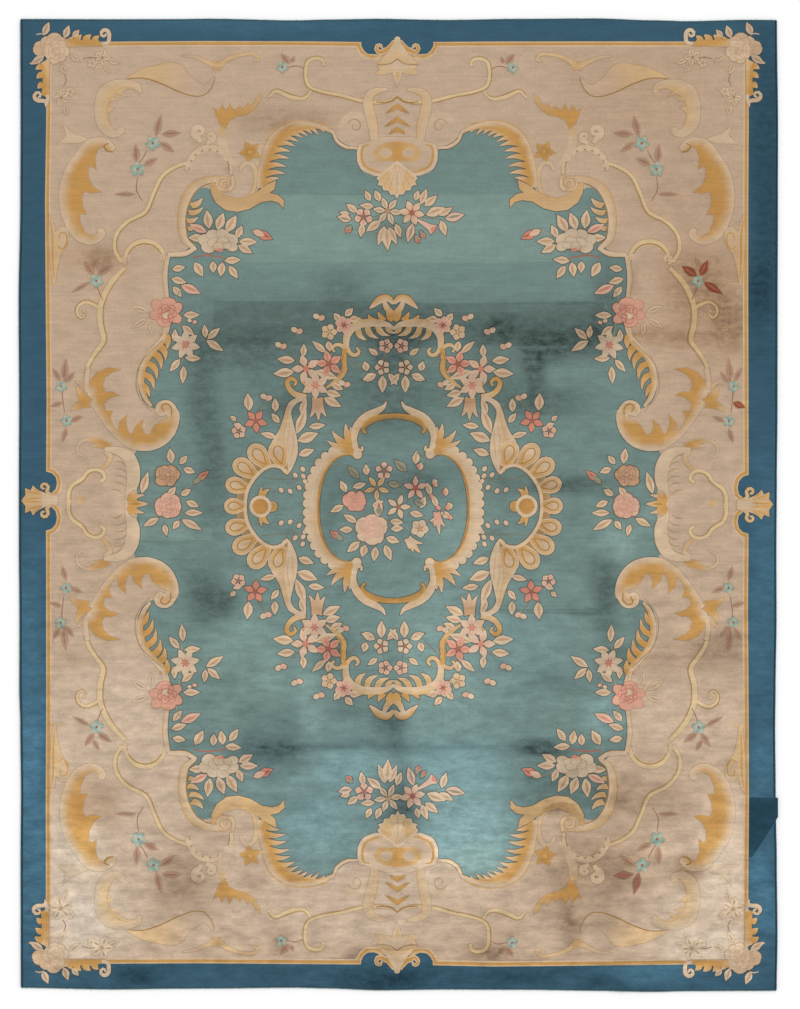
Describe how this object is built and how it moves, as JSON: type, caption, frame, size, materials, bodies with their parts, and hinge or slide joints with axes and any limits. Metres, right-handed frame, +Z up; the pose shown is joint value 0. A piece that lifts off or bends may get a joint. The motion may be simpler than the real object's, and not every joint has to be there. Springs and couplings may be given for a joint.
{
  "type": "carved wool medallion rug",
  "caption": "Large rectangular wool rug with carved cut pile, a floral medallion, a scrolled ground and a dark plain border, lying flat.",
  "frame": {"origin": "on the floor plane, under the middle of the rug's outer box", "axes": "+Z up out of the pile, +Y along the length towards the end at the top of the picture, +X across the width to the right"},
  "size_m": [2.748, 3.522, 0.0163],
  "materials": {
    "pile_wool": "matt cut wool pile in dyed colours: teal field, beige ground, blue border, cream, ochre and rose motifs",
    "side_wool": "matt overcast wool yarn, dark blue green",
    "end_yarn": "matt binding yarn, dark blue green"
  },
  "bodies": {
    "root": {"rug_body": "pile_wool", "side_cord_left": "side_wool", "side_cord_right": "side_wool", "end_binding_top": "end_yarn", "end_binding_bottom": "end_yarn"}
  },
  "joints": []
}
